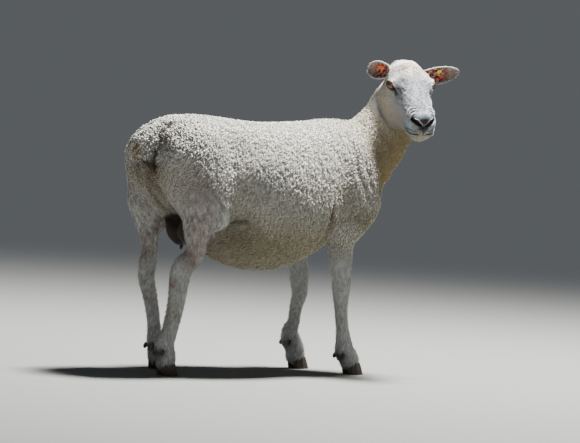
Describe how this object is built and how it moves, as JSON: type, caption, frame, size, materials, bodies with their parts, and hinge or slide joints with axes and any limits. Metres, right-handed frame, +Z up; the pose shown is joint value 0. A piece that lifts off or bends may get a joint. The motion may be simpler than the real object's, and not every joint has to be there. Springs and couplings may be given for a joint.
{
  "type": "sheep",
  "caption": "Life-size shorn white-faced hornless ewe, standing on all fours with her head turned back over her right shoulder.",
  "frame": {"origin": "on the floor under the middle of the bounding box", "axes": "+X towards the chest, +Y towards her left side, +Z up"},
  "size_m": [1.049, 0.4352, 0.898],
  "materials": {
    "fleece": "short shorn wool, matte",
    "short_hair": "short white hair, matte",
    "udder_skin": "bare skin, satin",
    "ear_skin": "thin haired skin, satin",
    "eye": "wet amber eye, glossy",
    "horn": "dark hoof horn, satin",
    "tag_orange": "orange plastic, satin",
    "tag_yellow": "yellow plastic, satin"
  },
  "bodies": {
    "root": {"trunk": "fleece", "neck": "fleece", "head": "short_hair", "eye_right": "eye", "eye_left": "eye", "ear_right": "ear_skin", "tag_orange_right": "tag_orange", "ear_left": "ear_skin", "tag_yellow_left": "tag_yellow", "tag_orange_left": "tag_orange", "shoulder_right": "fleece", "forearm_right": "fleece", "cannon_fore_right": "fleece", "pastern_fore_right": "fleece", "claw_fore_inner_right": "horn", "dewclaw_fore_inner_right": "horn", "claw_fore_outer_right": "horn", "dewclaw_fore_outer_right": "horn", "shoulder_left": "fleece", "forearm_left": "fleece", "cannon_fore_left": "fleece", "pastern_fore_left": "fleece", "claw_fore_inner_left": "horn", "dewclaw_fore_inner_left": "horn", "claw_fore_outer_left": "horn", "dewclaw_fore_outer_left": "horn", "thigh_right": "fleece", "gaskin_right": "fleece", "cannon_hind_right": "fleece", "pastern_hind_right": "fleece", "claw_hind_inner_right": "horn", "dewclaw_hind_inner_right": "horn", "claw_hind_outer_right": "horn", "dewclaw_hind_outer_right": "horn", "thigh_left": "fleece", "gaskin_left": "fleece", "cannon_hind_left": "fleece", "pastern_hind_left": "fleece", "claw_hind_inner_left": "horn", "dewclaw_hind_inner_left": "horn", "claw_hind_outer_left": "horn", "dewclaw_hind_outer_left": "horn", "udder": "udder_skin", "tail": "fleece"}
  },
  "joints": []
}
